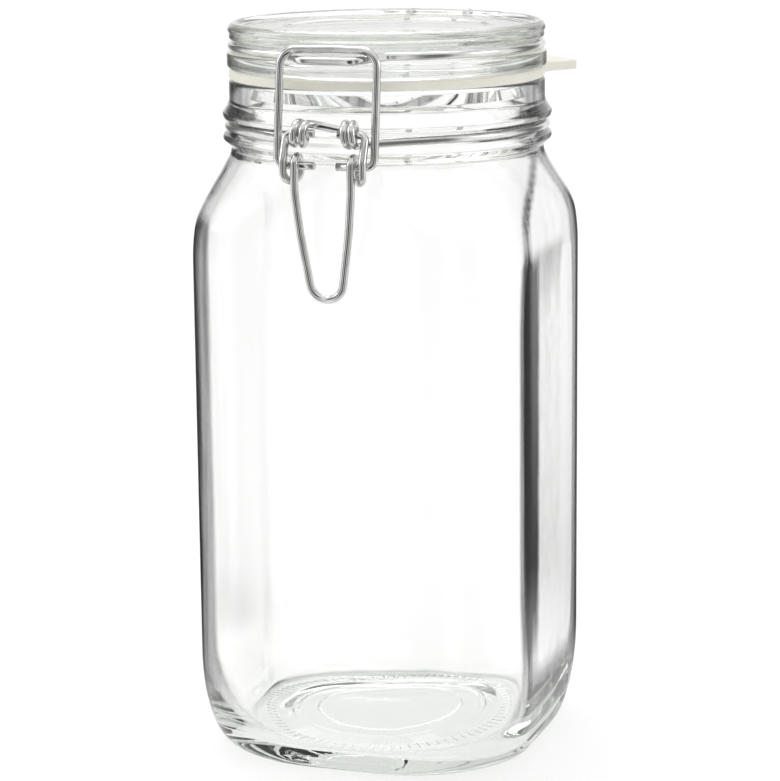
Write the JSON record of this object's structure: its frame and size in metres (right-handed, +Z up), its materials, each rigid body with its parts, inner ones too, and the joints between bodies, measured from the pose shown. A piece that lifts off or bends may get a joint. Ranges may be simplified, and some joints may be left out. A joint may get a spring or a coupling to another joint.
{
  "type": "clip-top storage jar",
  "caption": "Square glass storage jar with a round neck, a glass lid on a rubber ring, and a wire lever clip that pulls the lid shut.",
  "frame": {"origin": "centre of the base, in the plane the jar stands on", "axes": "+Z up through the neck and lid, -Y towards the clip, +Y towards the lid's hinge, +X to the right when the clip faces you"},
  "size_m": [0.1048, 0.1164, 0.222],
  "materials": {
    "jar_glass": "clear",
    "lid_glass": "clear",
    "seal_rubber": "matt, pale cream",
    "clip_wire": "bright plated steel wire"
  },
  "bodies": {
    "jar": {"jar_body": "jar_glass", "lid": "lid_glass", "gasket": "seal_rubber", "neck_wire": "clip_wire", "lid_wire": "clip_wire"},
    "lever": {"lever": "clip_wire"},
    "bail": {"bail": "clip_wire"}
  },
  "joints": [
    {"name": "lever_turn", "type": "hinge", "parent": "jar", "child": "lever", "pos_m": [0, -0.0542, 0.1937], "axis": [-1, 0, 0], "range_deg": [0, 100]},
    {"name": "bail_turn", "type": "hinge", "parent": "lever", "child": "bail", "pos_m": [0, -0.0549, 0.1845], "axis": [-1, 0, 0], "range_deg": [-80, 0]}
  ],
  "couplings": [
    {"joint": "bail_turn", "follows": "lever_turn", "ratio": -0.77}
  ]
}
